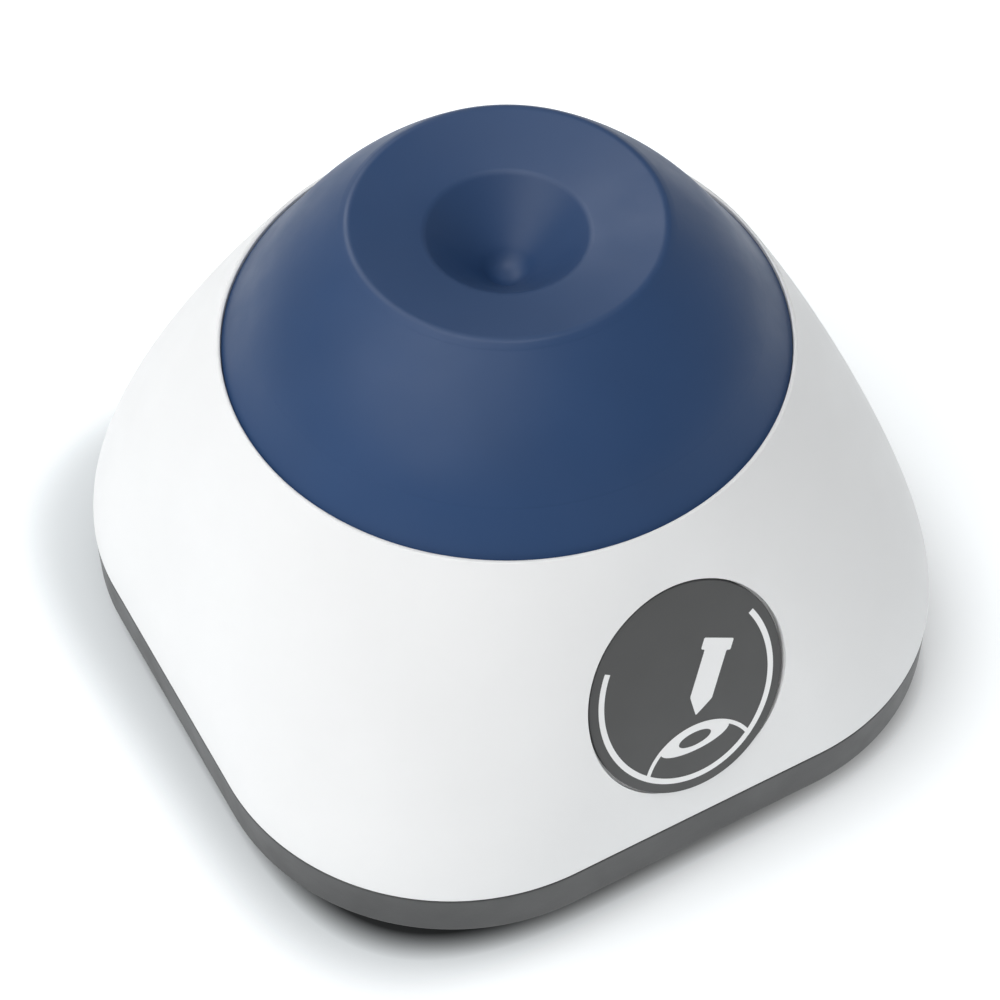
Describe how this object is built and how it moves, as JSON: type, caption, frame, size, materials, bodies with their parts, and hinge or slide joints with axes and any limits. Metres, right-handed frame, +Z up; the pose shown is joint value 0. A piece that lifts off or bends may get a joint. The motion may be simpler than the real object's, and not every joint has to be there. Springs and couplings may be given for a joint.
{
  "type": "vortex mixer",
  "caption": "Small touch-operated vortex mixer: rounded-square shell on a dark tray, with a rubber bell whose dished cup orbits when a tube is pressed into it.",
  "frame": {"origin": "on the table under the motor's axis, at the middle of the foot", "axes": "+Z up, badge towards -Y, power inlet towards +Y, +X to the right of someone facing the badge"},
  "size_m": [0.1, 0.1, 0.0725],
  "materials": {
    "white_shell": "satin moulded plastic",
    "dark_tray": "matte moulded plastic",
    "blue_silicone": "matte silicone rubber",
    "badge": "matte plastic",
    "rubber": "matte",
    "steel": "bright",
    "zinc_screws": "zinc plated",
    "spring_steel": "drawn wire",
    "ballast_steel": "black painted steel",
    "grey_plastic": "matte moulded plastic",
    "black_plastic": "matte moulded plastic",
    "natural_plastic": "moulded nylon",
    "brass": "turned",
    "bronze": "sintered",
    "copper": "enamelled wire",
    "board_green": "glass-fibre laminate, green mask",
    "ferrite": "ceramic magnet",
    "laminations": "stacked sheet",
    "graphite": "carbon brush",
    "lead_insulation": "pvc"
  },
  "bodies": {
    "base": {"upper_housing": "white_shell", "base_tray": "dark_tray", "badge_plate": "badge", "rubber_feet": "rubber", "housing_screws": "zinc_screws", "ballast_plate": "ballast_steel", "ballast_screws": "zinc_screws", "guide_posts": "steel", "post_washers": "steel", "post_screws": "zinc_screws", "return_springs": "spring_steel", "bell_clamp_ring": "grey_plastic", "clamp_screws": "zinc_screws", "control_board": "board_green", "board_screws": "zinc_screws", "board_capacitor": "black_plastic", "board_chips": "black_plastic", "lead_header": "natural_plastic", "dc_jack_body": "black_plastic", "dc_jack_pin": "steel", "switch_body": "black_plastic", "switch_pins": "brass", "motor_leads": "lead_insulation"},
    "plunger": {"switch_plunger": "natural_plastic"},
    "carriage": {"motor_cradle": "grey_plastic", "guide_bushes": "natural_plastic", "motor_can": "steel", "motor_screws": "zinc_screws", "motor_end_cap": "black_plastic", "motor_bushes": "bronze", "motor_terminals": "brass", "motor_magnets": "ferrite", "motor_brushes": "graphite"},
    "rotor": {"motor_shaft": "steel", "armature_core": "laminations", "armature_winding": "copper", "commutator": "copper", "eccentric_hub": "brass", "counterweight": "steel", "hub_set_screw": "zinc_screws", "bearing_inner_ring": "steel", "bearing_balls": "steel", "bearing_washer": "steel", "bearing_screw": "zinc_screws"},
    "cup": {"bearing_outer_ring": "steel", "cup_holder": "grey_plastic", "silicone_bell": "blue_silicone"}
  },
  "joints": [
    {"name": "cup_press", "type": "slide", "parent": "base", "child": "carriage", "axis": [0, 0, -1], "range_m": [0, 0.0015], "stiffness_N_per_m": 4000, "springref_m": -0.0025, "deforming": ["return_springs", "motor_leads"]},
    {"name": "switch_press", "type": "slide", "parent": "base", "child": "plunger", "axis": [0, 0, -1], "range_m": [0, 0.0015], "stiffness_N_per_m": 5, "springref_m": -0.0005},
    {"name": "motor_spin", "type": "hinge", "parent": "carriage", "child": "rotor", "pos_m": [0, 0, 0], "axis": [0, 0, 1], "continuous": true},
    {"name": "cup_orbit", "type": "hinge", "parent": "rotor", "child": "cup", "pos_m": [0.00098, 0.00174, 0], "axis": [0, 0, 1], "continuous": true, "deforming": ["silicone_bell"]}
  ],
  "couplings": [
    {"joint": "switch_press", "follows": "cup_press", "ratio": 1},
    {"joint": "cup_orbit", "follows": "motor_spin", "ratio": -1}
  ]
}
